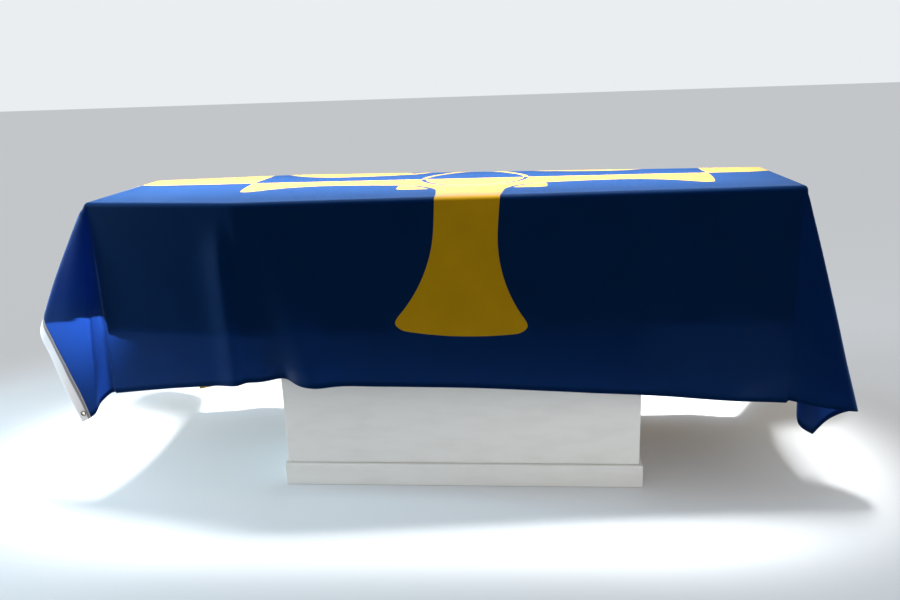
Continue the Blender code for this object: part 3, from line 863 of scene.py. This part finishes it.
def make_eyelet(name, direction, material):
    """A rolled brass eyelet at one end of the heading."""
    centre = cloth_point(EYELET_X, EYELET_Y[direction])
    axis = facing(EYELET_X, EYELET_Y[direction], EYELET_FACING_REACH)
    turn = Vector((0, 0, 1)).rotation_difference(axis)
    profile = []
    for k in range(CREST_STEPS + 1):
        angle = pi * k / CREST_STEPS
        profile.append((CREST_RADIUS - CREST_HALF * cos(angle), CREST_FOOT + CREST_RISE * sin(angle)))
    profile += FLANGE_ROWS
    count = len(profile)
    points, faces = [], []
    for i in range(EYELET_SIDES):
        angle = 2 * pi * i / EYELET_SIDES
        for radius, height in profile:
            points.append(turn @ Vector((radius * cos(angle), radius * sin(angle), height)) + centre)
        here, after = i * count, (i + 1) % EYELET_SIDES * count
        for k in range(count):
            onward = (k + 1) % count
            faces.append((here + k, after + k, after + onward, here + onward))
    return new_mesh(name, points, faces, material)


flag_look = flag_material()
flag = make_cloth(flag_look)
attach(flag, "root")
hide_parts("drape_cloth")

heading = make_heading(canvas_material())
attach(heading, "root")
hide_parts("heading")

brass = brass_material()
for side, direction in (("near", -1), ("far", 1)):
    eyelet = make_eyelet("rolled_eyelet_" + side, direction, brass)
    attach(eyelet, "root")
    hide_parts("eyelet_" + side)

hem_places = spaced(CLOTH_LOW, CLOTH_HIGH, HANGING_STEP)
fly_places = spaced(FLAG_LOW, FLAG_HIGH, HANGING_STEP)
hems = [
    make_hem("hem_near", hem_places, FLAG_LOW, FLAG_LOW + HEM_WIDTH, flag_look),
    make_hem("hem_far", hem_places, FLAG_HIGH, FLAG_HIGH - HEM_WIDTH, flag_look),
    make_hem("hem_fly", fly_places, CLOTH_HIGH, CLOTH_HIGH - HEM_WIDTH, flag_look),
]
for hem in hems:
    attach(hem, "root")

carried = [
    (wood_material(), ("coffin_lid", "coffin_body")),
    (paint_material(), ("bier_top", "bier_body", "bier_base")),
]
for look, nodes in carried:
    for node in nodes:
        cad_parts[node].data.materials.clear()
        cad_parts[node].data.materials.append(look)

FLOOR_REACH = 40.0
FLOOR_GREY = (0.66, 0.66, 0.66)
SKY = (0.94, 0.97, 1.0, 1.0)
SKY_STRENGTH = 0.88
PALE_LIGHT = (0.95, 0.98, 1.0)
BLUE_LIGHT = (0.55, 0.82, 1.0)
# Rows: name, place, the point it faces, width and depth, power in watts, spread in degrees, colour.
LIGHTS = [
    ("lid light", (-0.12, -0.06, 1.80), (-0.12, -0.06, 0.9), (2.0, 0.42), 51.0, 42.0, PALE_LIGHT),
    ("head light", (-1.80, 1.5, 0.80), (-1.10, -0.30, 0.66), (0.5, 0.12), 5.2, 20.0, PALE_LIGHT),
    ("left light", (-3.4, -0.50, 1.35), (-0.8, -0.3, 0.6), (0.4, 0.5), 22.0, 80.0, BLUE_LIGHT),
]
# The camera: its turns in degrees, its place from the middle of the lid, and its lens in millimetres.
CAMERA_PITCH = 15.71
CAMERA_ROLL = 2.04
CAMERA_YAW = -5.303
CAMERA_PLACE = (0.233, -2.363, 0.311)
CAMERA_LENS = 32.31
CAMERA_SENSOR = 36.0
CAMERA_FAR = 200.0


def make_floor():
    """A wide pale floor."""
    reach = FLOOR_REACH
    points = [(-reach, -reach, 0.0), (reach, -reach, 0.0), (reach, reach, 0.0), (-reach, reach, 0.0)]
    material = principled("pale floor", FLOOR_GREY, 0.9, Specular_IOR_Level=0.0)[0]
    floor = new_mesh("floor", points, [(0, 1, 2, 3)], material)


def area_light(name, place, towards, size, power, spread, colour):
    """A soft light at a place, facing a point, of a width, a power in watts and a spread in degrees."""
    light = bpy.data.lights.new(name, "AREA")
    light.shape = "RECTANGLE"
    light.size, light.size_y = size
    light.energy = power
    light.spread = radians(spread)
    light.color = colour
    made = bpy.data.objects.new(name, light)
    made.location = place
    made.rotation_euler = (Vector(towards) - Vector(place)).to_track_quat("-Z", "Y").to_euler()
    made.visible_camera = False
    bpy.context.scene.collection.objects.link(made)


def make_light():
    """A pale sky, a long soft light over the lid, and weaker ones behind the head end and at the left."""
    world = bpy.data.worlds.new("pale sky")
    bpy.context.scene.world = world
    world.use_nodes = True
    back = world.node_tree.nodes["Background"]
    back.inputs["Color"].default_value = SKY
    back.inputs["Strength"].default_value = SKY_STRENGTH
    for row in LIGHTS:
        area_light(*row)


def make_camera():
    """A camera at the photograph's viewing angle."""
    pitch, roll, yaw = radians(CAMERA_PITCH), radians(CAMERA_ROLL), radians(CAMERA_YAW)
    forward = Vector((sin(yaw) * cos(pitch), cos(yaw) * cos(pitch), -sin(pitch)))
    level = Vector((cos(yaw), -sin(yaw), 0.0))
    upright = level.cross(forward)
    right = level * cos(roll) - upright * sin(roll)
    up = upright * cos(roll) + level * sin(roll)
    data = bpy.data.cameras.new("camera")
    data.sensor_width = CAMERA_SENSOR
    data.lens = CAMERA_LENS
    data.clip_end = CAMERA_FAR
    made = bpy.data.objects.new("camera", data)
    turn = Matrix((right, up, -forward)).transposed().to_4x4()
    made.matrix_world = Matrix.Translation(Vector(CAMERA_PLACE) + SHIFT) @ turn
    bpy.context.scene.collection.objects.link(made)
    bpy.context.scene.camera = made


bpy.context.scene.view_settings.view_transform = "Standard"
make_floor()
make_light()
make_camera()
